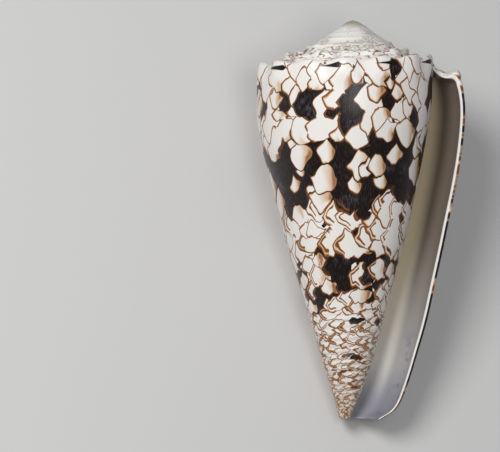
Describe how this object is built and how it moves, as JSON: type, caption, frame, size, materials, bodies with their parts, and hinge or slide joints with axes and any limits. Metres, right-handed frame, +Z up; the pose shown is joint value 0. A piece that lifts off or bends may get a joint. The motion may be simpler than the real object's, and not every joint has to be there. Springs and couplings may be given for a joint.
{
  "type": "cone shell",
  "caption": "Tall cone-shaped sea shell with a low stepped spire, knobbed shoulder, long slit opening and netted brown markings, lying on its back.",
  "frame": {"origin": "middle of the bounding box, at the height of the surface that it lies on", "axes": "+Z up, +Y towards the spire along the shell's length, +X towards the lip. The shell's own axis is pitched 14.35 degrees down towards the narrow end and rolled 24 degrees, so the opening faces up and towards -X. It rests on a flat, 0.3 mm deep, that its back is worn to."},
  "size_m": [0.0384, 0.0734, 0.0371],
  "materials": {
    "shell_surface": "glossy porcelain white, netted with chestnut lines and blotched dark brown, over a chalky spire"
  },
  "bodies": {
    "root": {"cone_shell": "shell_surface"}
  },
  "joints": []
}
